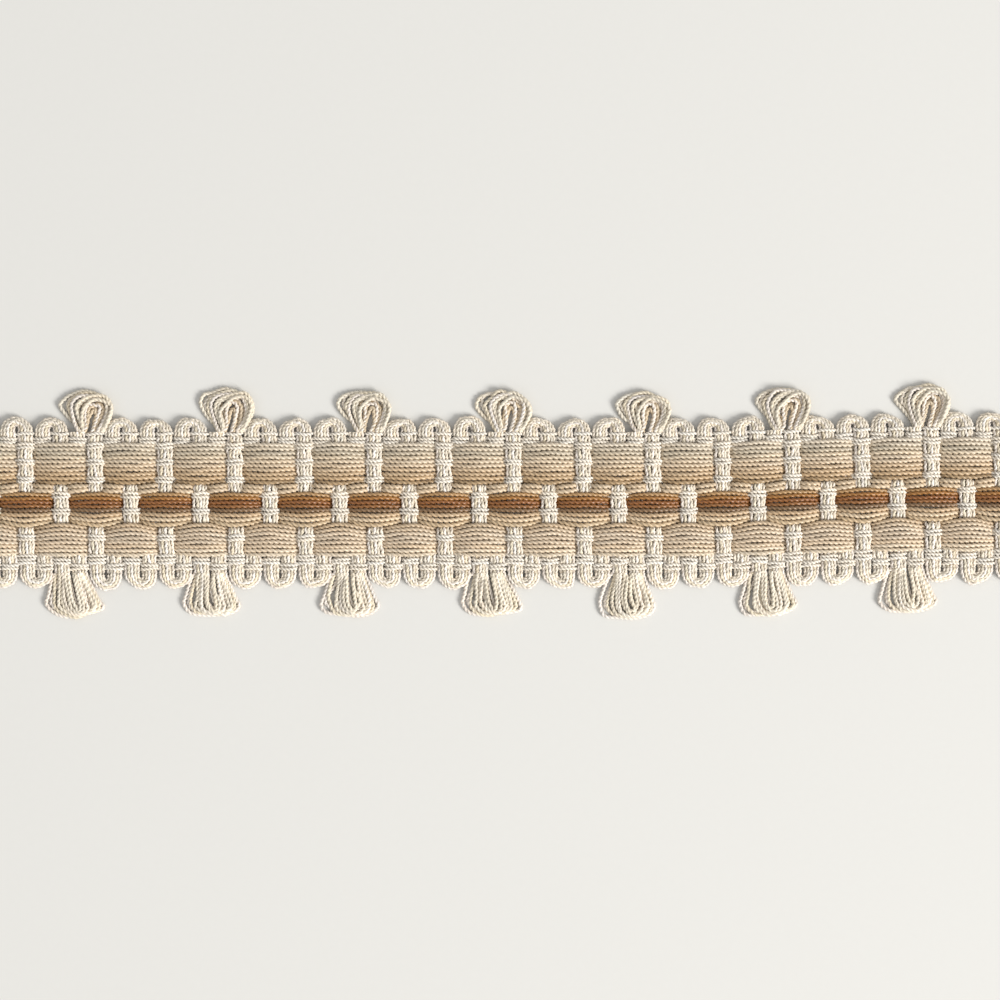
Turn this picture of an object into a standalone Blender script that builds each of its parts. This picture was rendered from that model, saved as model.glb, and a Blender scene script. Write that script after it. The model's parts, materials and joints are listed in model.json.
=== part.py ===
"""Braid trim: a cut length of woven gimp braid with picots and loop tassels on both long edges.

The trim lies flat. +X runs along the trim, +Y across it towards the far edge, +Z up from the table.
The origin is on the underside, at the middle bar of the weave, below the brown stripe.
All sizes below are in millimetres.
"""

from collections import namedtuple
import math

import bmesh
import bpy

MM = 0.001

# Weave along the trim
PICK = 2.88
PICKS_EACH_SIDE = 30
BAR_SHOULDER = 0.23
LEAN = 0.016
LIE_RISE = 0.9
LIE_START = 25.0
LIE_END = 75.0

# Heights above the table
BAR_TOP = 2.25
BAR_GROOVE = 1.4
FLOAT_CROWN = 2.1
FLOAT_END_DROP = 0.4
FLOAT_SIDE_DROP = 0.35
STRIPE_GROOVE = 1.55
RIM_BAR = 1.85
RIM_GROOVE = 1.5
STRIP_GROOVE = 1.55
STRIP_SIDE_DROP = 0.3

# Edges of the weave
FAR_EDGE = 9.91
PART_GAP = 0.3
FAR_STRIP_OUTER = 11.9
NEAR_STRIP_OUTER = -11.75
FAR_LOOP_LINE = 11.73
NEAR_LOOP_LINE = -11.56

# Picots: one thick turn of the weft from each bar to the next
PICOT_RADIUS = 1.17
PICOT_FLATTEN = 0.58
PICOT_STEPS = 5
PICOT_ROOT_LIFT = 0.2
PICOT_RESOLUTION = 1

# Tassels: every fourth turn is opened into long yarn loops
TASSEL_EVERY = 8
STRAND_RADIUS = 0.29
STRAND_RESOLUTION = 0
STRAND_STEPS = 5
LAYER_RISE = 0.66
ROOT_RISE = 0.25
ROOT_SPREAD = 2.3
ROOT_SPACING = 0.48
ROOT_DEPTH = 0.9
ROOT_NECK = 1.0
TASSEL_ARC_START = 196.0
TASSEL_ROUNDNESS = 0.42

SHARP_ANGLE = 50.0

Stripe = namedtuple("Stripe", "name strands pitch bars_over inner_rows")
STRIPES = (
    Stripe("upper_beige", 10, 0.677, (1,), 2),
    Stripe("pale_narrow", 2, 0.745, (1, 3), 1),
    Stripe("brown", 4, 0.620, (3,), 1),
    Stripe("tan", 4, 0.703, (3,), 1),
    Stripe("lower_beige", 8, 0.641, (1,), 2),
)

Row = namedtuple("Row", "y above below side_share")

Loop = namedtuple("Loop", "reach left right layer")
FAR_LOOPS = (
    Loop(6.60, -4.95, 3.65, 0),
    Loop(6.20, -3.80, 3.30, 1),
    Loop(5.60, -2.60, 2.65, 0),
    Loop(4.60, -1.40, 2.10, 1),
)
NEAR_LOOPS = (
    Loop(7.27, -4.95, 4.30, 0),
    Loop(7.00, -3.80, 3.30, 1),
    Loop(6.50, -2.60, 2.30, 0),
    Loop(6.00, -1.45, 1.25, 1),
)

Finish = namedtuple("Finish", "name colour roughness")
WEAVE_FINISH = Finish("beige_and_brown_cotton_weave", (0.50, 0.40, 0.28), 0.62)
LOOP_FINISH = Finish("cream_cotton_yarn", (0.70, 0.64, 0.53), 0.58)


def lie(x):
    """Sideways drift of the trim where it lies on the table: its right end bends gently to the far side."""
    share = min(max((x - LIE_START) / (LIE_END - LIE_START), 0.0), 1.0)
    return LIE_RISE * share * share * (3.0 - 2.0 * share)


def placed(x, y, z):
    """A point of the straight trim, leaned with the bars and moved to where the trim lies, in metres."""
    leaned = x - LEAN * y
    return (leaned * MM, (y + lie(leaned)) * MM, z * MM)


def make_material(finish):
    material = bpy.data.materials.new(finish.name)
    material.use_nodes = True
    shader = material.node_tree.nodes["Principled BSDF"]
    shader.inputs["Base Color"].default_value = (*finish.colour, 1.0)
    shader.inputs["Roughness"].default_value = finish.roughness
    shader.inputs["Metallic"].default_value = 0.0
    material.diffuse_color = (*finish.colour, 1.0)
    return material


def clear_scene():
    for item in list(bpy.data.objects):
        bpy.data.objects.remove(item)


def new_collection(name):
    collection = bpy.data.collections.new(name)
    bpy.context.scene.collection.children.link(collection)
    return collection


def move_to(item, collection):
    for owner in list(item.users_collection):
        owner.objects.unlink(item)
    collection.objects.link(item)


def stripe_rows():
    """Rows of points across the band, far side first, each with the stripes that it borders."""
    rows = []
    top = FAR_EDGE
    above = None
    for stripe in STRIPES:
        width = stripe.strands * stripe.pitch
        rows.append(Row(top, above, stripe, 1.0))
        for inner in range(stripe.inner_rows):
            share = (inner + 1) / (stripe.inner_rows + 1)
            rows.append(Row(top - width * share, stripe, stripe, abs(2.0 * share - 1.0)))
        top -= width
        above = stripe
    rows.append(Row(top, above, None, 1.0))
    return rows


def near_edge():
    return stripe_rows()[-1].y


def band_columns():
    """Columns along the band: shoulders and grooves at each bar that shows, one at each bar below."""
    columns = []
    for pick in range(-PICKS_EACH_SIDE, PICKS_EACH_SIDE + 1):
        offsets = (-0.5, -BAR_SHOULDER, BAR_SHOULDER) if pick % 2 else (-0.5, 0.0)
        columns.extend(pick + offset for offset in offsets)
    columns.append(PICKS_EACH_SIDE + 0.5)
    return columns


def nearest_bar(column):
    """Number of the nearest bar that shows, and how far the column lies from it, in bar spacings."""
    bar = 2 * round((column - 1.0) / 2.0) + 1
    return bar, column - bar


def is_crossed(column, stripe):
    """True where a weft bar lies over the stripe at this column, its grooves included."""
    bar, offset = nearest_bar(column)
    return bar % 4 in stripe.bars_over and abs(offset) <= 0.5


def bar_height(column):
    offset = nearest_bar(column)[1]
    return BAR_TOP if abs(offset) < 0.5 else BAR_GROOVE


def float_height(column, stripe, side_share):
    """Height of the warp yarns between the bars that cross their stripe: a low pillow."""
    spacing = 4.0 / len(stripe.bars_over)
    from_bar = (column - stripe.bars_over[0]) % spacing
    along = abs(2.0 * from_bar / spacing - 1.0)
    return FLOAT_CROWN - FLOAT_END_DROP * along ** 2 - FLOAT_SIDE_DROP * side_share ** 2


def band_height(column, row):
    """Height of the woven band at a column, given in bar spacings, and a row of points."""
    borders = [stripe for stripe in (row.above, row.below) if stripe]
    crossed = all(is_crossed(column, stripe) for stripe in borders)
    if len(borders) == 1:
        return RIM_BAR if crossed and bar_height(column) > BAR_GROOVE else RIM_GROOVE
    if crossed:
        return bar_height(column)
    if row.above is not row.below:
        return STRIPE_GROOVE
    return float_height(column, row.above, row.side_share)


def slab(name, columns, row_places, height):
    """Closed woven slab: a grid moved to its columns and rows, with its rim dropped to the table."""
    column_steps = len(columns) - 1
    row_steps = len(row_places) - 1
    bpy.ops.mesh.primitive_grid_add(x_subdivisions=column_steps, y_subdivisions=row_steps, size=2.0)
    item = bpy.context.object
    item.name = name
    item.data.name = name
    shape = bmesh.new()
    shape.from_mesh(item.data)
    for point in shape.verts:
        column = round((point.co.x + 1.0) / 2.0 * column_steps)
        row = round((1.0 - point.co.y) / 2.0 * row_steps)
        z = height(column, row)
        point.co = placed(columns[column] * PICK, row_places[row], z)
    rim = [edge for edge in shape.edges if edge.is_boundary]
    walls = bmesh.ops.extrude_edge_only(shape, edges=rim)
    for part in walls["geom"]:
        if isinstance(part, bmesh.types.BMVert):
            part.co.z = 0.0
    foot = [edge for edge in shape.edges if edge.is_boundary]
    bmesh.ops.holes_fill(shape, edges=foot, sides=0)
    bmesh.ops.recalc_face_normals(shape, faces=shape.faces)
    shape.to_mesh(item.data)
    shape.free()
    return item


def woven_band():
    columns = band_columns()
    rows = stripe_rows()
    return slab("woven_band", columns, [row.y for row in rows],
                lambda column, row: band_height(columns[column], rows[row]))


def strip_columns():
    """Columns along an edge strip: the crown of each bar and the groove after it."""
    steps = 2 * (2 * PICKS_EACH_SIDE + 1)
    return [-PICKS_EACH_SIDE - 0.5 + step / 2.0 for step in range(steps + 1)]


def edge_strip(name, inner, outer):
    """Narrow strip of weft turns along one edge, ribbed by every bar."""
    columns = strip_columns()
    row_places = sorted((inner, (inner + outer) / 2.0, outer), reverse=True)

    def height(column, row):
        drop = 0.0 if row == 1 else STRIP_SIDE_DROP
        return (BAR_TOP if column % 2 else STRIP_GROOVE) - drop

    return slab(name, columns, row_places, height)


def yarn(name, route, radius, resolution, flatten, collection):
    """Closed tube along a route of points, pressed flat by a share, as a mesh object."""
    curve = bpy.data.curves.new(name, "CURVE")
    curve.dimensions = "3D"
    curve.twist_mode = "Z_UP"
    curve.bevel_depth = radius * MM
    curve.bevel_resolution = resolution
    curve.use_fill_caps = True
    spline = curve.splines.new("POLY")
    spline.points.add(len(route) - 1)
    for point, place in zip(spline.points, route):
        point.co = (place[0], place[1], place[2] / flatten, 1.0)
    guide = bpy.data.objects.new(name + "_guide", curve)
    collection.objects.link(guide)
    graph = bpy.context.evaluated_depsgraph_get()
    mesh = bpy.data.meshes.new_from_object(guide.evaluated_get(graph))
    shape = bmesh.new()
    shape.from_mesh(mesh)
    bmesh.ops.remove_doubles(shape, verts=shape.verts, dist=0.000001)
    for point in shape.verts:
        point.co.z *= flatten
    bmesh.ops.recalc_face_normals(shape, faces=shape.faces)
    shape.to_mesh(mesh)
    shape.free()
    tube = bpy.data.objects.new(name, mesh)
    tube.matrix_world = guide.matrix_world
    collection.objects.link(tube)
    bpy.data.objects.remove(guide)
    bpy.data.curves.remove(curve)
    tube.hide_render = True
    tube.display_type = "WIRE"
    return tube


def picot(name, middle, loop_line, side, collection):
    """One round turn of the weft between two bars; it leaves the strip a little high and rests below."""
    rest = PICOT_RADIUS * PICOT_FLATTEN
    half = PICK / 2.0
    route = [placed(middle - half, loop_line - side * ROOT_DEPTH, rest + PICOT_ROOT_LIFT)]
    for step in range(PICOT_STEPS + 1):
        angle = math.pi * (1.0 - step / PICOT_STEPS)
        lift = PICOT_ROOT_LIFT * (1.0 - math.sin(angle))
        route.append(placed(middle + half * math.cos(angle),
                            loop_line + side * half * math.sin(angle), rest + lift))
    route.append(placed(middle + half, loop_line - side * ROOT_DEPTH, rest + PICOT_ROOT_LIFT))
    return yarn(name, route, PICOT_RADIUS, PICOT_RESOLUTION, PICOT_FLATTEN, collection)


def tassel_strand(name, middle, loop_line, side, loop, place_in_fan, collection):
    """One long yarn loop of a tassel: it leaves the strip at a narrow root and swells to a round end."""
    rest = STRAND_RADIUS + loop.layer * LAYER_RISE
    root_x = ROOT_SPREAD - place_in_fan * ROOT_SPACING
    centre = (loop.left + loop.right) / 2.0
    half = (loop.right - loop.left) / 2.0
    rise = TASSEL_ROUNDNESS * loop.reach
    arc_y = loop.reach - STRAND_RADIUS - rise
    start = math.radians(TASSEL_ARC_START)
    end = math.pi - start
    route = [placed(middle - root_x, loop_line - side * ROOT_DEPTH, rest + ROOT_RISE),
             placed(middle - root_x, loop_line + side * ROOT_NECK, rest + ROOT_RISE)]
    for step in range(STRAND_STEPS + 1):
        angle = start + (end - start) * step / STRAND_STEPS
        route.append(placed(middle + centre + half * math.cos(angle),
                            loop_line + side * (arc_y + rise * math.sin(angle)), rest))
    route.append(placed(middle + root_x, loop_line + side * ROOT_NECK, rest + ROOT_RISE))
    route.append(placed(middle + root_x, loop_line - side * ROOT_DEPTH, rest + ROOT_RISE))
    return yarn(name, route, STRAND_RADIUS, STRAND_RESOLUTION, 1.0, collection)


def loop_edge(name, inner, outer, loop_line, side, first_turn, tassel_loops, collection):
    """Edge strip with a turn of the weft between every second pair of bars, each a picot or a tassel."""
    strip = edge_strip(name, inner, outer)
    for turn in range(first_turn, PICKS_EACH_SIDE, 2):
        middle = (turn + 0.5) * PICK
        is_tassel = (turn + first_turn % 2) % TASSEL_EVERY == 0
        label = f"{name}_turn_{turn + PICKS_EACH_SIDE:02d}"
        if is_tassel:
            for place_in_fan, loop in enumerate(tassel_loops):
                tassel_strand(f"{label}_strand_{place_in_fan}", middle, loop_line, side, loop,
                              place_in_fan, collection)
        else:
            picot(label, middle, loop_line, side, collection)
    joined = strip.modifiers.new("rooted_loops", "BOOLEAN")
    joined.operation = "UNION"
    joined.solver = "EXACT"
    joined.operand_type = "COLLECTION"
    joined.collection = collection
    return strip


def main():
    clear_scene()
    trim = new_collection("braid_trim")
    weave = make_material(WEAVE_FINISH)
    loops = make_material(LOOP_FINISH)

    band = woven_band()
    far_strip = loop_edge("far_loop_edge", FAR_EDGE + PART_GAP, FAR_STRIP_OUTER, FAR_LOOP_LINE, 1.0,
                          -PICKS_EACH_SIDE, FAR_LOOPS, new_collection("far_loops"))
    near_strip = loop_edge("near_loop_edge", near_edge() - PART_GAP, NEAR_STRIP_OUTER, NEAR_LOOP_LINE, -1.0,
                           1 - PICKS_EACH_SIDE, NEAR_LOOPS, new_collection("near_loops"))
    for item, material in ((band, weave), (far_strip, loops), (near_strip, loops)):
        move_to(item, trim)
        item.data.materials.append(material)
        item.data.shade_smooth()
        item.data.set_sharp_from_angle(angle=math.radians(SHARP_ANGLE))


main()
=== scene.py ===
"""Looks of a woven braid trim: a gimp braid of plied cotton with picots and loop tassels on both edges.

The trim lies flat on a pale table, seen from straight above. Every yarn is a twisted curve turned into a mesh.
Sizes are in millimetres along the straight trim: x along it, y across it, z up from the table.
"""

from collections import namedtuple
import json
import math

import bmesh
import bpy
import numpy as np
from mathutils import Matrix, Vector

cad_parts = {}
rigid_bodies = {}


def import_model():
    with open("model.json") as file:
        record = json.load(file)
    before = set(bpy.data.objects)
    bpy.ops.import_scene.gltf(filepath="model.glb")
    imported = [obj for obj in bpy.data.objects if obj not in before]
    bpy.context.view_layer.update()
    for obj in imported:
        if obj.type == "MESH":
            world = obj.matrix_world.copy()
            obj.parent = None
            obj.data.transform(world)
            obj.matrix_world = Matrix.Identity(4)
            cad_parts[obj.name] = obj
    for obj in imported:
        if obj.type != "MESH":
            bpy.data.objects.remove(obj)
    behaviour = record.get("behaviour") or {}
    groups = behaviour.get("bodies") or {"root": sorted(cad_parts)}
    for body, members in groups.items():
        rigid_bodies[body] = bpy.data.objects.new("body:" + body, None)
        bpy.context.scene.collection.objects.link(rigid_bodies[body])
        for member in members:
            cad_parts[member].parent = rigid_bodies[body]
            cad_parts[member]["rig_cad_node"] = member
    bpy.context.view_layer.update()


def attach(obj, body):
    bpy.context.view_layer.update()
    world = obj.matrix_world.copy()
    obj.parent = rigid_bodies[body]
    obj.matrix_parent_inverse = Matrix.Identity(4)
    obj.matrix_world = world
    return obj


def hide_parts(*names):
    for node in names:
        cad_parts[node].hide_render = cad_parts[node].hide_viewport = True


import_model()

MM = 0.001
PIXEL = 0.1652
rng = np.random.default_rng(7)

# Weave along the trim, as in the solids
PICK = 2.88
PICKS_EACH_SIDE = 30
LEAN = 0.016
LIE_RISE = 0.9
LIE_START = 25.0
LIE_END = 75.0

# Edges of the weave and the lines where the weft starts to turn
FAR_EDGE = 9.91
FAR_LOOP_LINE = 11.73
NEAR_LOOP_LINE = -11.56

# Two-ply yarn: flat-topped plies with a narrow groove between, a full turn of the twist in 8 steps
WARP_STEP = 0.206
WEFT_STEP = 0.19
STEPS_IN_TURN = 8
HIDDEN_STEP = 0.9
PLAIN_STEP = 0.8
PLY_HALF_ANGLE = 34.0
GROOVE_DEPTH = 0.50
TWIST_SPREAD = 0.2
GOLDEN_SHARE = 0.618

# Warp heights, at the middle of a yarn
WARP_FLOAT = 1.90
WARP_PILLOW = 1.60
WARP_LOW = 0.42
WARP_DIVE = 0.74
WARP_THICKNESS = 0.56
STRIPE_ROUND = 0.22
CUT_FRAY = 0.9

# Weft bundle: five yarns above, and two below that fill it
WEFT_RADIUS = 0.30
TASSEL_RADIUS = 0.345
WEFT_HIGH = 1.42
WEFT_LOW = 0.60
WEFT_EDGE_LEVEL = 0.58
WEFT_ROW_RISE = 0.25
WEFT_SIDE_DROP = 0.075
WEFT_SPREAD = 0.50
STEP_OVER = 0.9
EDGE_STEP_INSIDE = 0.35

# Turns at the edges
TURN_HEIGHT = 0.66
TURN_SPREAD = 0.44
TASSEL_EVERY = 8
Rim = namedtuple("Rim", "line side first_turn hole_out out_spread")
FAR_RIM = Rim(FAR_LOOP_LINE, 1.0, -PICKS_EACH_SIDE, 1.60, 0.27)
NEAR_RIM = Rim(NEAR_LOOP_LINE, -1.0, 1 - PICKS_EACH_SIDE, 1.72, 0.33)

# Cream warps that bind the weft bars, each in a hollow that it presses into them
BINDER_RADIUS = 0.32
BINDER_STEP = 0.57
BINDER_TWIST_STEP = 0.155
BINDER_RISE = 0.46
BINDER_PRESS = 0.36
BINDER_ARCH = 1.43
BINDER_LOW = 0.8
ODD = (1, 3)
EVEN = (0, 2)
Binder = namedtuple("Binder", "y yarns bars_over")
BINDERS = (
    Binder(11.45, 1, ODD),
    Binder(10.35, 2, EVEN),
    Binder(9.45, 2, (1,)),
    Binder(6.75, 2, (1,)),
    Binder(3.85, 2, (1,)),
    Binder(1.32, 2, (3,)),
    Binder(-1.40, 2, (3,)),
    Binder(-5.73, 2, (1,)),
    Binder(-8.70, 1, (1,)),
    Binder(-9.60, 2, ODD),
    Binder(-10.55, 2, EVEN),
)

Stripe = namedtuple("Stripe", "name strands pitch bars_over shades jitter")
STRIPES = (
    Stripe("upper_beige", 10, 0.677, (1,), ("#D3C6B2", "#D2C3AA", "#DCC7AB", "#C4AB8A", "#A98F6C"), 0.07),
    Stripe("pale_narrow", 2, 0.745, (1, 3), ("#C8B294", "#D6C1A4"), 0.04),
    Stripe("brown", 4, 0.620, (3,), ("#AF8A5C", "#A87437", "#8F5A28", "#86592D"), 0.08),
    Stripe("tan", 4, 0.703, (3,), ("#826546", "#BBA07E", "#DAC3A3", "#C6AF8E"), 0.05),
    # The first lower-beige dye is darker than the rest: painted shade of the row that lies low beside the tan floats
    Stripe("lower_beige", 8, 0.641, (1,), ("#C0AA8D", "#DDCAB1", "#CDB99F", "#D9C9B1"), 0.07),
)
WEFT_SHADES = ("#E6DCCD", "#DCD3C2", "#EAE2D8", "#DDD2BC", "#E3DAD0", "#E0D6C3", "#D8CFBE")
BINDER_SHADE = "#E9E1D4"
# Darker tan of the yarns in the far tassels' eye: painted shade of the tassel's hollow
EYE_PAINTED_SHADE = "#CDBBA0"
FILL_HEIGHT = 0.35
FILL_RISE = 0.15

# Loops of one tassel through these points, in photo pixels from its middle and outwards from the loop line
FAR_FAN = (
    ((-1, 0), (0, 8), (5, 21), (9, 25), (12.5, 21), (12, 9), (8, 0)),
    ((-7.5, 0), (-11, 8), (-19.3, 16), (-25.7, 27), (-22, 34), (-14, 38), (-2, 39.5), (11, 37), (20, 30), (19, 15),
     (9, 0)),
    ((-4, 0), (-3, 4), (-4, 20), (2, 30), (10, 33), (17, 31), (19.5, 24), (17, 12), (11, 0)),
    ((-6.5, 0), (-9.5, 5), (-17.2, 21.7), (-18, 28), (-12.3, 34), (-4, 38.5), (7, 38.8), (17, 35.5), (23.5, 27),
     (21, 14), (12, 0)),
    ((-3, 0), (0.5, 6), (0.5, 19), (3, 26), (8, 28.5), (12, 25), (11.5, 15), (6, 0)),
    ((-5, 0), (-4, 4), (-9.5, 19), (-9.2, 28.5), (-1, 34.8), (10.8, 37), (19, 35), (25, 27), (24, 16), (15, 0)),
    ((-4, 0), (-2.5, 4), (-4.8, 17.5), (0, 27.5), (9, 33.5), (17.5, 33.6), (24, 28.5), (25.5, 20.5), (17, 0)),
)
FAR_HEIGHTS = (0.34, 0.40, 0.50, 0.72, 0.84, 1.12, 1.40)
FAR_FILL = (
    ((-5, 0), (-8, 6), (-15, 18), (-21, 27), (-16, 35.5), (-6, 37.5), (8, 34), (17, 25), (13, 10), (8, 0)),
    ((-3, 0), (-2, 8), (-5, 22), (-2, 32), (6, 35.5), (16, 33), (21.5, 26), (18, 12), (13, 0)),
    ((-2, 0), (0, 8), (2, 22), (6, 28.5), (13, 28), (16, 22), (13, 10), (10, 0)),
    ((-1, 0), (2, 10), (6, 21), (9, 23), (10, 17), (9, 9), (8, 0)),
    ((-6, 0), (-9, 5), (-13.5, 19), (-14, 28), (-8, 35), (3, 37), (14, 35), (21, 28), (19, 15), (11, 0)),
    ((-3, 0), (-3, 8), (-7, 20), (-5, 29), (3, 33.5), (13, 34.5), (20, 30), (21.5, 18), (15, 0)),
)
NEAR_FAN = (
    ((-15, 0), (-19.9, 5), (-26, 22), (-28.2, 32), (-23, 40), (-10, 43), (6, 42.5), (20, 40), (27.4, 34), (24, 24),
     (15, 0)),
    ((-13, 0), (-15.8, 6), (-19.5, 22), (-21, 33), (-15.8, 40.5), (-4, 42.6), (10, 41), (20, 36.5), (20, 27), (12.5, 0)),
    ((-9, 0), (-9, 12), (-2, 30), (6, 40), (14, 41), (19, 34), (17.5, 22), (10, 0)),
    ((-11, 0), (-12.5, 8), (-14.8, 25), (-14.5, 34), (-8, 40.8), (2, 42), (12, 40), (17.5, 34), (15, 22), (9, 0)),
    ((-8, 0), (-8.5, 8), (-10.5, 26), (-7, 37), (0.8, 41), (8, 40), (13.5, 34.5), (11, 23), (7, 0)),
    ((-6, 0), (-5, 6), (-6, 23), (-4, 34), (2, 39.5), (7.5, 37), (8.5, 28), (5, 13), (4, 0)),
    ((-4, 0), (-3, 9), (-2.5, 25), (-0.5, 34), (3, 37.5), (5.5, 33), (4.5, 21), (2.5, 0)),
)
NEAR_HEIGHTS = (0.34, 0.52, 0.66, 0.82, 0.98, 1.14, 1.28)
NEAR_FILL = (
    ((-12, 0), (-15, 10), (-23, 28), (-18, 37), (-4, 41), (9, 38), (15, 30), (9, 12), (5, 0)),
    ((-6, 0), (-6, 10), (-7, 26), (0, 37), (12, 40), (23, 36), (22, 25), (14, 8), (12, 0)),
    ((-3, 0), (-1, 10), (1, 26), (6, 35), (11, 33), (10, 18), (8, 0)),
    ((-9, 0), (-10, 8), (-12, 25), (-11, 35), (-3, 40), (9, 40.5), (18, 36), (18.5, 26), (12, 8), (9, 0)),
)

Strand = namedtuple("Strand", "route radius shade tilt")


def linear(shade):
    """An sRGB hex shade as linear red, green and blue."""
    channels = [int(shade[start:start + 2], 16) / 255.0 for start in (1, 3, 5)]
    return np.array([c / 12.92 if c <= 0.04045 else ((c + 0.055) / 1.055) ** 2.4 for c in channels])


def smooth(share):
    share = np.clip(share, 0.0, 1.0)
    return share * share * (3.0 - 2.0 * share)


def placed(route):
    """Points of the straight trim, in millimetres, moved to where the trim lies, in metres."""
    x, y, z = np.asarray(route, float).T
    leaned = x - LEAN * y
    drift = LIE_RISE * smooth((leaned - LIE_START) / (LIE_END - LIE_START))
    return np.stack((leaned, y + drift, z), axis=1) * MM


def evenly(route, step):
    """The same route with points a step apart."""
    route = np.asarray(route, float)
    lengths = np.concatenate(([0.0], np.cumsum(np.linalg.norm(np.diff(route, axis=0), axis=1))))
    count = max(int(round(lengths[-1] / step)), 2) + 1
    places = np.linspace(0.0, lengths[-1], count)
    return np.stack([np.interp(places, lengths, route[:, axis]) for axis in range(3)], axis=1)


def wander(length_along, reach, wave):
    """A gentle irregular sideways drift along a yarn."""
    drift = np.zeros_like(length_along)
    for share in (1.0, 0.6, 0.37):
        drift += share * np.sin(2.0 * math.pi * (length_along / (wave * share) + rng.random()))
    return reach * drift / 2.0


def ply_section():
    """Closed outline of a two-ply yarn of radius 1 mm: two flat-topped plies and a groove on each side."""
    data = bpy.data.curves.new("ply_section", "CURVE")
    data.dimensions = "2D"
    spline = data.splines.new("POLY")
    angles = []
    for ply in (0.0, 180.0):
        angles += [ply - PLY_HALF_ANGLE, ply + PLY_HALF_ANGLE, ply + 90.0]
    spline.points.add(len(angles) - 1)
    for corner, (angle, point) in enumerate(zip(angles, spline.points)):
        turned = -math.radians(angle)
        radius = MM * (GROOVE_DEPTH if corner % 3 == 2 else 1.0)
        point.co = (radius * math.cos(turned), radius * math.sin(turned), 0.0, 1.0)
    spline.use_cyclic_u = True
    outline = bpy.data.objects.new("ply_section", data)
    bpy.context.scene.collection.objects.link(outline)
    return outline, np.radians(angles)


def twist(route, start, step):
    """Turning of the section along a yarn: constant twist, held still where the points are far apart."""
    lengths = np.linalg.norm(np.diff(np.asarray(route, float), axis=0), axis=1)
    turning = np.where(lengths < 2.4 * step, lengths, 0.0)
    return start + 2.0 * math.pi * np.concatenate(([0.0], np.cumsum(turning))) / (STEPS_IN_TURN * step)


def stripe_shade(stripe, share):
    """Shade at a share of the way down a stripe, between the dyes of its table row."""
    dyes = np.array([linear(shade) for shade in stripe.shades])
    places = np.linspace(0.0, 1.0, len(dyes))
    return np.array([np.interp(share, places, dyes[:, channel]) for channel in range(3)])


def spin(name, strands):
    """One mesh of many yarns, each a twisted curve with a closed end, with its shade and its plies as attributes."""
    outline, around = ply_section()
    corners = len(around)
    data = bpy.data.curves.new(name, "CURVE")
    data.dimensions = "3D"
    data.twist_mode = "Z_UP"
    data.bevel_mode = "OBJECT"
    data.bevel_object = outline
    data.use_fill_caps = True
    # 1 on the ply crests and 0 in the grooves: the mask for the material's painted groove shade and crest highlight
    crest = np.array([0.0 if corner % 3 == 2 else 1.0 for corner in range(corners)])
    end_rings = []
    rings = []
    for strand in strands:
        route = placed(strand.route)
        count = len(route)
        along = np.concatenate(([0.0], np.cumsum(np.linalg.norm(np.diff(route, axis=0), axis=1)))) / MM
        spline = data.splines.new("POLY")
        spline.points.add(count - 1)
        spline.points.foreach_set("co", np.column_stack((route, np.ones(count))).ravel())
        spline.points.foreach_set("radius", np.full(count, float(strand.radius)))
        spline.points.foreach_set("tilt", strand.tilt)
        ring = np.zeros((count, corners, 7))
        ring[:, :, 0:3] = yarn_shades(strand.shade, along)[:, None, :]
        ring[:, :, 3] = crest
        ring[:, :, 4] = np.cos(around)
        ring[:, :, 5] = np.sin(around)
        ring[:, :, 6] = along[:, None] + 17.0 * len(rings)
        rings.append(ring.reshape(-1, 7))
        end_rings.append(np.concatenate((ring[-1], ring[0])))
    curve = bpy.data.objects.new(name + "_curve", data)
    bpy.context.scene.collection.objects.link(curve)
    graph = bpy.context.evaluated_depsgraph_get()
    mesh = bpy.data.meshes.new_from_object(curve.evaluated_get(graph))
    mesh.name = name
    # The closed ends come first, last yarn first, and then each yarn ring by ring
    facts = np.concatenate(end_rings[::-1] + rings)
    shade = mesh.attributes.new("yarn_shade", "FLOAT_COLOR", "POINT")
    shade.data.foreach_set("color", np.column_stack((facts[:, 0:3], np.ones(len(facts)))).ravel())
    mesh.attributes.new("ply_crest", "FLOAT", "POINT").data.foreach_set("value", facts[:, 3].copy())
    mesh.attributes.new("along_fibre", "FLOAT_VECTOR", "POINT").data.foreach_set("vector", facts[:, 4:7].ravel())
    shape = bmesh.new()
    shape.from_mesh(mesh)
    sides = sum((len(strand.route) - 1) * corners for strand in strands)
    shape.faces.ensure_lookup_table()
    cut_ends = shape.faces[:len(shape.faces) - sides]
    bmesh.ops.remove_doubles(shape, verts=shape.verts, dist=1e-8)
    for face in shape.faces:
        face.smooth = True
    for face in cut_ends:
        face.smooth = False
        for edge in face.edges:
            edge.smooth = False
    shape.to_mesh(mesh)
    shape.free()
    piece = bpy.data.objects.new(name, mesh)
    bpy.context.scene.collection.objects.link(piece)
    bpy.data.objects.remove(curve)
    bpy.data.curves.remove(data)
    bpy.data.objects.remove(outline)
    return piece


def yarn_shades(shade, along):
    """Shade at each point of a yarn: the dye takes unevenly, in lightness and between warm and cool."""
    light = 1.0 + wander(along, 0.07, 11.0)
    warm = 0.01 + wander(along, 0.02, 17.0) + 0.008 * rng.normal()
    toward = np.stack((1.0 + warm, np.ones_like(along), 1.0 - 1.4 * warm), axis=1)
    return shade[None, :] * light[:, None] * toward


def boundary_lines(column):
    """The five stripes' edges across the trim at a column: each float swells while its neighbour is pinched."""
    wave = np.cos(math.pi / 2.0 * (column - 1.0))
    swell = (-0.10, 0.12, 0.15, 0.0, -0.38, 0.10)
    lines = []
    y = FAR_EDGE
    for index, size in enumerate(swell):
        lines.append(y + size * wave)
        if index < len(STRIPES):
            y -= STRIPES[index].strands * STRIPES[index].pitch
    return lines


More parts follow.
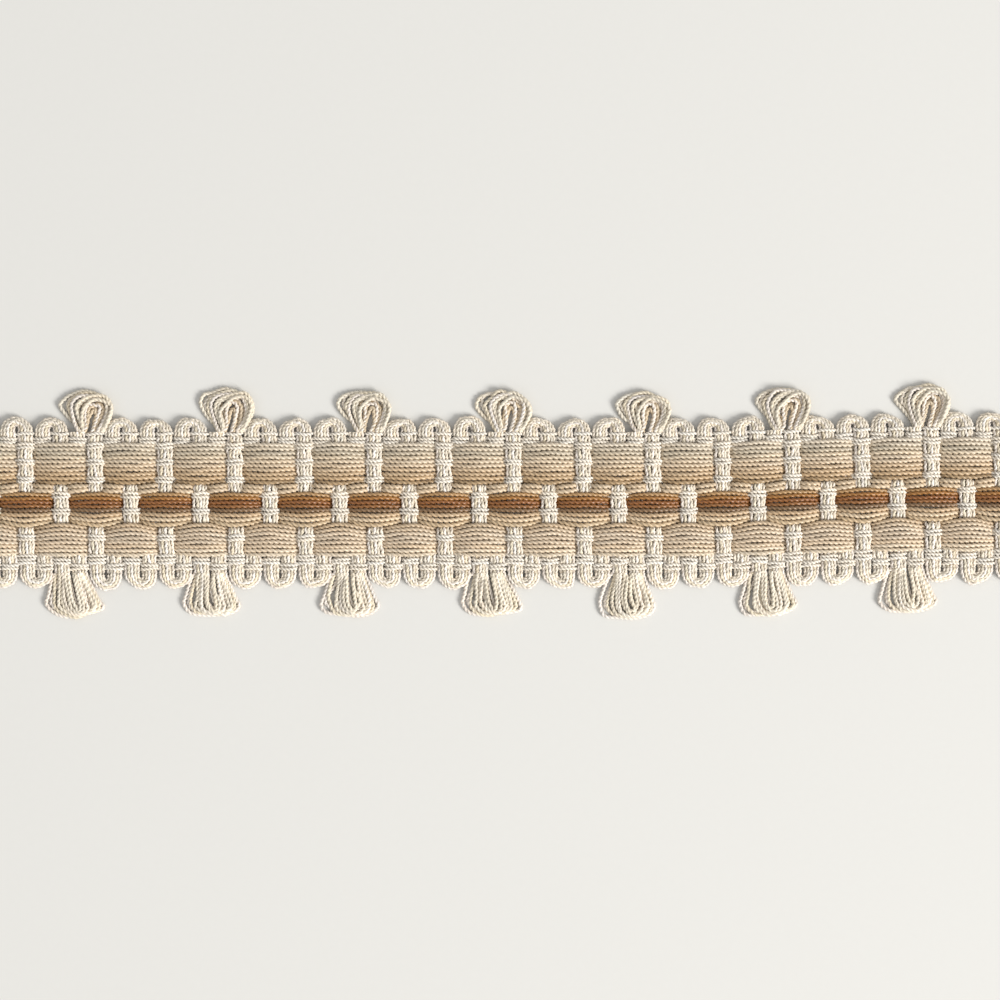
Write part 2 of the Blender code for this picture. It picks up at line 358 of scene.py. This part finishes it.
def warp_route(stripe_index, strand):
    """A warp yarn: it floats over the bars in a pillow, and dives below each bar that crosses its stripe."""
    stripe = STRIPES[stripe_index]
    end = (PICKS_EACH_SIDE + 0.5) * PICK
    x = np.arange(-end - CUT_FRAY * rng.random(), end + CUT_FRAY * rng.random(), WARP_STEP)
    column = x / PICK
    spacing = 4.0 / len(stripe.bars_over)
    from_bar = np.abs((column - stripe.bars_over[0] + spacing / 2.0) % spacing - spacing / 2.0)
    lines = boundary_lines(column)
    share = (strand + 0.5) / stripe.strands
    y = lines[stripe_index] + (lines[stripe_index + 1] - lines[stripe_index]) * share
    y = y + wander(x, 0.07, 23.0) + wander(x, 0.07, 7.0)
    below = 0.5 + 0.5 * np.cos(math.pi * np.clip(from_bar / WARP_DIVE, 0.0, 1.0))
    from_middle = 1.0 - from_bar / (spacing / 2.0)
    side = abs(2.0 * share - 1.0)
    top = WARP_FLOAT - WARP_PILLOW * spacing / 4.0 * from_middle ** 2 - STRIPE_ROUND * side ** 3
    z = top - (top - WARP_LOW) * below + wander(x, 0.10, 9.0) * (1.0 - below)
    return evenly(np.stack((x, y, z), axis=1), WARP_STEP)


def warp_strands(stripe_indices):
    strands = []
    for index in stripe_indices:
        stripe = STRIPES[index]
        for strand in range(stripe.strands):
            shade = stripe_shade(stripe, strand / (stripe.strands - 1)) * (1.0 + stripe.jitter * rng.normal())
            route = warp_route(index, strand)
            looseness = 1.0 + TWIST_SPREAD * (GOLDEN_SHARE * strand % 1.0)
            tilt = twist(route, 2.0 * math.pi * rng.random(), WARP_STEP * looseness)
            strands.append(Strand(route, stripe.pitch * WARP_THICKNESS, shade, tilt))
    return strands


def bar_level(pick, y):
    """Height share of a weft bar across the trim: 1 over a stripe, 0 below it, between at both edges."""
    lines = boundary_lines(float(pick))
    lines[0] -= EDGE_STEP_INSIDE
    lines[-1] += EDGE_STEP_INSIDE
    levels = [WEFT_EDGE_LEVEL]
    for stripe in STRIPES:
        levels.append(1.0 if pick % 4 in stripe.bars_over else 0.0)
    levels.append(WEFT_EDGE_LEVEL)
    level = np.full_like(y, levels[0])
    for line, before, after in zip(lines, levels, levels[1:]):
        level += (after - before) * smooth((line - y) / STEP_OVER + 0.5)
    return level


def pressed(pick, y):
    """Depth that the binding warps press a weft bar down, at each y."""
    depth = np.zeros_like(y)
    for binder in BINDERS:
        if pick % 4 in binder.bars_over:
            reach = 0.5 * BINDER_STEP * binder.yarns + 0.1
            depth = np.maximum(depth, BINDER_PRESS * np.exp(-((y - binder.y) / reach) ** 4))
    return depth


def bundle_places():
    """The seven yarns of the weft: sideways place in yarn spacings, and the row, 1 above and -1 below."""
    return [(-2.0, 1), (-1.0, 1), (0.0, 1), (1.0, 1), (2.0, 1), (-0.9, -1), (0.9, -1)]


def partner_yarn(number):
    """Number of a yarn in the next bar: what lies outside on one side of a turn lies outside on the other."""
    return 4 - number if number < 5 else 11 - number


def bar_steps(pick, row):
    """Places across the trim for one yarn of a bar: close together where it shows."""
    y = NEAR_LOOP_LINE
    steps = []
    while y < FAR_LOOP_LINE - 0.5 * WEFT_STEP:
        steps.append(y)
        shows = y < NEAR_BAND_EDGE + 0.6 or y > FAR_EDGE - 0.6
        shows = shows or float(bar_level(pick, np.array([y]))[0]) > 0.05
        y += (WEFT_STEP if shows else HIDDEN_STEP) if row > 0 else PLAIN_STEP
    return np.array(steps + [FAR_LOOP_LINE])


def bar_strands(pick):
    """One weft bar: seven yarns across the trim, from one loop line to the other."""
    strands = []
    for number, (place, row) in enumerate(bundle_places()):
        y = bar_steps(pick, row)
        inside = smooth((FAR_LOOP_LINE - y) / 1.2) * smooth((y - NEAR_LOOP_LINE) / 1.2)
        x = pick * PICK + place * WEFT_SPREAD + inside * wander(y, 0.16, 4.0)
        z = WEFT_LOW + (WEFT_HIGH - WEFT_LOW) * bar_level(pick, y) - pressed(pick, y)
        z = z + row * WEFT_ROW_RISE - WEFT_SIDE_DROP * place ** 2 + inside * wander(y, 0.14, 3.0)
        route = np.stack((x, y, np.maximum(z, WEFT_RADIUS)), axis=1)
        tilt = twist(route, 1.3 * pick + 2.4 * number, WEFT_STEP)
        bar_tilts[pick, number] = (tilt[0], tilt[-1])
        strands.append(Strand(route, WEFT_RADIUS, weft_shade(pick, number), tilt))
    return strands


def weft_shade(pick, number):
    """Shade of a weft yarn: the same yarn lies left in one bar and right in the next."""
    number = partner_yarn(number) if pick % 2 else number
    return linear(WEFT_SHADES[number % len(WEFT_SHADES)]) * (1.0 + 0.03 * rng.normal())


def bar_end_height(row, place):
    level = WEFT_LOW + (WEFT_HIGH - WEFT_LOW) * WEFT_EDGE_LEVEL
    return max(level + row * WEFT_ROW_RISE - WEFT_SIDE_DROP * place ** 2, WEFT_RADIUS)


def turn_twist(route, turn, number, side):
    """Twist of a yarn round a turn, so that it meets the plies of both bars that it joins."""
    end = 1 if side > 0.0 else 0
    first = bar_tilts[turn, number][end]
    last = bar_tilts[turn + 1, partner_yarn(number)][end]
    if side < 0.0:
        first, last = -first, -last
    tilt = twist(route, first, WEFT_STEP)
    half_turns = round((tilt[-1] + last) / math.pi)
    miss = half_turns * math.pi - last - tilt[-1]
    return tilt + miss * np.linspace(0.0, 1.0, len(tilt))


def picot_strands(turn, rim):
    """A picot: the whole bundle turns from one bar into the next around a small hole, down onto the table."""
    strands = []
    middle = (turn + 0.5) * PICK
    tall = 1.0 + 0.06 * rng.normal()
    lean = 0.15 * rng.normal()
    for number, (place, row) in enumerate(bundle_places()):
        step = WEFT_STEP if row > 0 else PLAIN_STEP
        edge = PICK / 2.0 - place * WEFT_SPREAD
        radius = PICK / 2.0 - place * TURN_SPREAD
        reach = rim.hole_out - place * rim.out_spread
        steps = max(int(math.pi * 0.5 * (radius + reach) / step), 6)
        angle = np.linspace(math.pi, 0.0, steps + 1)
        out = np.sin(angle)
        x = middle + (edge + (radius - edge) * smooth(out * 1.5)) * np.cos(angle) + lean * radius * out ** 2
        loose = wander(angle * radius, 0.16, 3.0) * out
        y = rim.line + rim.side * (tall * reach * out ** 0.8 + loose)
        start = bar_end_height(row, place)
        rest = max(TURN_HEIGHT + row * WEFT_ROW_RISE - WEFT_SIDE_DROP * place ** 2, WEFT_RADIUS)
        z = start + (rest - start) * smooth(out * 1.2) + np.abs(wander(angle * radius, 0.22, 2.0)) * out
        route = np.stack((x, y, z), axis=1)
        tilt = turn_twist(route, turn, number, rim.side)
        strands.append(Strand(route, WEFT_RADIUS, weft_shade(turn, number), tilt))
    return strands


def through(points):
    """A smooth curve through a few points."""
    points = np.asarray(points, float)
    ends = np.concatenate((2.0 * points[:1] - points[1:2], points, 2.0 * points[-1:] - points[-2:-1]))
    share = np.linspace(0.0, 1.0, 9)[:-1, None]
    parts = []
    for before, start, end, after in zip(ends, ends[1:], ends[2:], ends[3:]):
        bend = (2.0 * before - 5.0 * start + 4.0 * end - after) * share ** 2
        turn = (3.0 * start - before - 3.0 * end + after) * share ** 3
        parts.append(0.5 * (2.0 * start + (end - before) * share + bend + turn))
    return np.concatenate(parts + [points[-1:]])


def tassel_strands(turn, rim, fan, heights, fill):
    """A tassel: the yarns leave the edge side by side and open into loops of unlike size, low ones below."""
    strands = []
    middle = (turn + 0.5) * PICK
    sway = 0.06 * rng.normal()
    length = 1.0 + 0.03 * rng.normal()
    roots = sorted(bundle_places(), key=lambda entry: entry[1])
    loops = list(zip(fan, heights)) + [(loop, FILL_HEIGHT + FILL_RISE * order) for order, loop in enumerate(fill)]
    for number, (loop, height) in enumerate(loops):
        place, row = roots[number % len(roots)]
        loop = np.array(loop, float)
        loose = rng.normal(size=loop.shape) * 0.9
        loose[0] = loose[-1] = 0.0
        flat = through((loop + loose) * PIXEL) * (1.0, length)
        start = bar_end_height(row, place)
        risen = smooth(flat[:, 1] / 1.6)
        z = start + (height - start) * risen + 0.06 * rng.normal() * risen
        x = middle + flat[:, 0] + sway * flat[:, 1]
        y = rim.line + rim.side * flat[:, 1]
        route = evenly(np.stack((x, y, np.maximum(z, TASSEL_RADIUS)), axis=1), WEFT_STEP)
        tilt = twist(route, 2.0 * math.pi * rng.random(), WEFT_STEP)
        # Yarns in the far tassels' eye take the darker tan, painted shade of the hollow
        in_eye = fan is FAR_FAN and (number == 0 or len(fan) < number < len(fan) + 4)
        shade = linear(EYE_PAINTED_SHADE) if in_eye else weft_shade(turn, number)
        strands.append(Strand(route, TASSEL_RADIUS, shade, tilt))
    return strands


def edge_turns(rim):
    """Turns along one edge, each with True where it is opened into a tassel."""
    for turn in range(rim.first_turn, PICKS_EACH_SIDE, 2):
        yield turn, (turn + rim.first_turn % 2) % TASSEL_EVERY == 0


def picots(rim):
    strands = []
    for turn, is_tassel in edge_turns(rim):
        if not is_tassel:
            strands += picot_strands(turn, rim)
    return strands


def tassels(rim, fan, heights, fill):
    strands = []
    for turn, is_tassel in edge_turns(rim):
        if is_tassel:
            strands += tassel_strands(turn, rim, fan, heights, fill)
    return strands


def binder_steps(binder):
    """Places along a binding warp: close together where it crosses a bar that it binds."""
    x = -(PICKS_EACH_SIDE + 0.5) * PICK
    spacing = 4.0 / len(binder.bars_over)
    steps = []
    while x < (PICKS_EACH_SIDE + 0.5) * PICK:
        steps.append(x)
        from_bar = abs((x / PICK - binder.bars_over[0] + spacing / 2.0) % spacing - spacing / 2.0) * PICK
        x += WARP_STEP if from_bar < BINDER_ARCH + 0.1 else HIDDEN_STEP * 0.5
    return np.array(steps)


def binder_strands():
    """Cream warps that arch over the bars they bind and lie hidden below the coloured floats between."""
    strands = []
    for binder in BINDERS:
        level = float(bar_level(binder.bars_over[0], np.array([binder.y]))[0])
        top = WEFT_LOW + (WEFT_HIGH - WEFT_LOW) * level + WEFT_ROW_RISE - BINDER_PRESS + BINDER_RISE
        spacing = 4.0 / len(binder.bars_over)
        for yarn in range(binder.yarns):
            x = binder_steps(binder)
            from_bar = np.abs((x / PICK - binder.bars_over[0] + spacing / 2.0) % spacing - spacing / 2.0) * PICK
            arch = np.sqrt(np.clip(1.0 - (from_bar / BINDER_ARCH) ** 2, 0.0, 1.0))
            z = BINDER_LOW + (top - BINDER_LOW) * arch + wander(x, 0.05, 3.0) * arch
            offset = (yarn - 0.5 * (binder.yarns - 1)) * BINDER_STEP
            y = binder.y + offset + wander(x, 0.12, 4.0)
            route = np.stack((x, y, z), axis=1)
            tilt = twist(route, 2.0 * math.pi * rng.random(), BINDER_TWIST_STEP)
            strands.append(Strand(route, BINDER_RADIUS, linear(BINDER_SHADE) * (1.0 + 0.04 * rng.normal()), tilt))
    return strands


bar_tilts = {}
NEAR_BAND_EDGE = FAR_EDGE - sum(stripe.strands * stripe.pitch for stripe in STRIPES)


def add_node(tree, kind, links=(), **settings):
    """A node with its settings by name and its links as (source socket, input name) pairs."""
    node = tree.nodes.new(kind)
    for name, value in settings.items():
        if hasattr(node, name):
            setattr(node, name, value)
        else:
            node.inputs[name.replace("_", " ")].default_value = value
    for source, socket in links:
        tree.links.new(source, node.inputs[socket])
    return node


def plied_cotton(name, painted_groove_shade, roughness, gloss):
    """Mercerised cotton, spun and plied: a silky yarn, with painted shade that darkens its ply grooves and a slight
    painted highlight on its ply crests.
    """
    material = bpy.data.materials.new(name)
    material.use_nodes = True
    tree = material.node_tree
    shader = tree.nodes["Principled BSDF"]
    shade = add_node(tree, "ShaderNodeAttribute", attribute_name="yarn_shade")
    crest = add_node(tree, "ShaderNodeAttribute", attribute_name="ply_crest")
    fibre = add_node(tree, "ShaderNodeAttribute", attribute_name="along_fibre")
    stretch = add_node(tree, "ShaderNodeMapping", [(fibre.outputs["Vector"], "Vector")])
    stretch.inputs["Scale"].default_value = (2.2, 2.2, 0.9)
    streaks = add_node(tree, "ShaderNodeTexNoise", [(stretch.outputs["Vector"], "Vector")])
    streaks.inputs["Scale"].default_value = 1.6
    streaks.inputs["Detail"].default_value = 3.0
    spread = add_node(tree, "ShaderNodeMapRange", [(streaks.outputs["Fac"], "Value")])
    spread.inputs["From Min"].default_value = 0.3
    spread.inputs["From Max"].default_value = 0.7
    spread.inputs["To Min"].default_value = 0.86
    spread.inputs["To Max"].default_value = 1.12
    # Painted shade: the colour darkens into each ply groove, and the crests get a slight painted highlight
    groove = add_node(tree, "ShaderNodeMapRange", [(crest.outputs["Fac"], "Value")])
    groove.inputs["To Min"].default_value = painted_groove_shade
    groove.inputs["To Max"].default_value = 1.06
    both = add_node(tree, "ShaderNodeMath", [(spread.outputs["Result"], 0), (groove.outputs["Result"], 1)],
                    operation="MULTIPLY")
    tone = add_node(tree, "ShaderNodeVectorMath",
                    [(shade.outputs["Color"], 0), (both.outputs["Value"], "Scale")], operation="SCALE")
    tree.links.new(tone.outputs["Vector"], shader.inputs["Base Color"])
    bump = add_node(tree, "ShaderNodeBump", [(streaks.outputs["Fac"], "Height")])
    bump.inputs["Strength"].default_value = 0.25
    bump.inputs["Distance"].default_value = 0.00005
    tree.links.new(bump.outputs["Normal"], shader.inputs["Normal"])
    shader.inputs["Roughness"].default_value = roughness
    shader.inputs["Specular IOR Level"].default_value = gloss
    shader.inputs["Sheen Weight"].default_value = 0.08
    shader.inputs["Sheen Roughness"].default_value = 0.4
    return material


def pale_card(name, shade):
    """Matt pale card under the trim, very slightly uneven."""
    material = bpy.data.materials.new(name)
    material.use_nodes = True
    tree = material.node_tree
    shader = tree.nodes["Principled BSDF"]
    place = add_node(tree, "ShaderNodeTexCoord")
    grain = add_node(tree, "ShaderNodeTexNoise", [(place.outputs["Object"], "Vector")])
    grain.inputs["Scale"].default_value = 900.0
    mix = add_node(tree, "ShaderNodeMix", [(grain.outputs["Fac"], "Factor")], data_type="RGBA")
    mix.inputs["A"].default_value = (*(linear(shade) * 0.99), 1.0)
    mix.inputs["B"].default_value = (*(linear(shade) * 1.01), 1.0)
    tree.links.new(mix.outputs["Result"], shader.inputs["Base Color"])
    shader.inputs["Roughness"].default_value = 0.9
    return material


def dress(piece, material):
    piece.data.materials.clear()
    piece.data.materials.append(material)
    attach(piece, "root")
    return piece


def add_camera():
    """Long lens from straight above, so that 1000 photo pixels span the same length of trim."""
    data = bpy.data.cameras.new("camera")
    data.lens = 100.0
    data.sensor_width = 36.0
    camera = bpy.data.objects.new("camera", data)
    bpy.context.scene.collection.objects.link(camera)
    width = 1000.0 * PIXEL * MM
    distance = width * data.lens / data.sensor_width
    camera.location = (3.3 * PIXEL * MM, 3.0 * PIXEL * MM, distance + 0.0015)
    camera.rotation_euler = (0.0, 0.0, 0.0)
    data.clip_start = 0.01
    bpy.context.scene.camera = camera


def add_soft_light(name, place, size, power, colour):
    data = bpy.data.lights.new(name, "AREA")
    data.shape = "DISK"
    data.size = size
    data.energy = power
    data.color = colour
    lamp = bpy.data.objects.new(name, data)
    bpy.context.scene.collection.objects.link(lamp)
    lamp.location = place
    lamp.rotation_euler = (-Vector(place)).to_track_quat("-Z", "Y").to_euler()


def add_stage():
    bpy.ops.object.select_all(action="DESELECT")
    bpy.ops.mesh.primitive_plane_add(size=3.0, location=(0.0, 0.0, 0.0))
    floor = bpy.context.object
    floor.name = "table"
    floor.data.materials.append(pale_card("pale_matt_card", "#D7D6D2"))
    world = bpy.data.worlds.new("soft_room")
    world.use_nodes = True
    background = world.node_tree.nodes["Background"]
    background.inputs["Color"].default_value = (1.0, 1.0, 1.0, 1.0)
    background.inputs["Strength"].default_value = 0.62
    bpy.context.scene.world = world
    add_soft_light("window_light", (1.60, -0.86, 1.20), 0.95, 54.0, (1.0, 0.985, 0.96))
    bpy.context.scene.view_settings.view_transform = "Standard"


add_camera()
# Second number: how dark the painted shade in the ply grooves is, 1 for none
weave_yarn = plied_cotton("mercerised_cotton_dyed_and_plied", 0.82, 0.38, 0.7)
weft_yarn = plied_cotton("mercerised_cotton_cream_and_plied", 0.97, 0.38, 0.5)
# Binding warps: the same cream yarn, with deeper painted shade in the ply grooves
binding_yarn = plied_cotton("mercerised_cotton_cream_plied_deep_painted_groove_shade", 0.62, 0.45, 0.4)

beige_warp = spin("beige_warp_yarns", warp_strands((0, 4)))
centre_warp = spin("centre_warp_yarns", warp_strands((1, 2, 3)))
bars_over = [strand for pick in range(1 - PICKS_EACH_SIDE, PICKS_EACH_SIDE, 2) for strand in bar_strands(pick)]
bars_below = [strand for pick in range(-PICKS_EACH_SIDE, PICKS_EACH_SIDE + 1, 2) for strand in bar_strands(pick)]
weft_over = spin("weft_bars_that_show", bars_over)
weft_below = spin("weft_bars_between", bars_below)
far_picots = spin("far_picots", picots(FAR_RIM))
near_picots = spin("near_picots", picots(NEAR_RIM))
far_tassels = spin("far_tassels", tassels(FAR_RIM, FAR_FAN, FAR_HEIGHTS, FAR_FILL))
near_tassels = spin("near_tassels", tassels(NEAR_RIM, NEAR_FAN, NEAR_HEIGHTS, NEAR_FILL))
binders = spin("binding_warp_yarns", binder_strands())

for piece in (beige_warp, centre_warp):
    dress(piece, weave_yarn)
for piece in (weft_over, weft_below, far_picots, far_tassels, near_picots, near_tassels):
    dress(piece, weft_yarn)
dress(binders, binding_yarn)

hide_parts("woven_band")
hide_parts("far_loop_edge")
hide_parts("near_loop_edge")

add_stage()

for piece in bpy.data.objects:
    if piece.type == "MESH" and "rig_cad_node" not in piece:
        triangles = sum(len(face.vertices) - 2 for face in piece.data.polygons)
        print("triangles", piece.name, triangles)
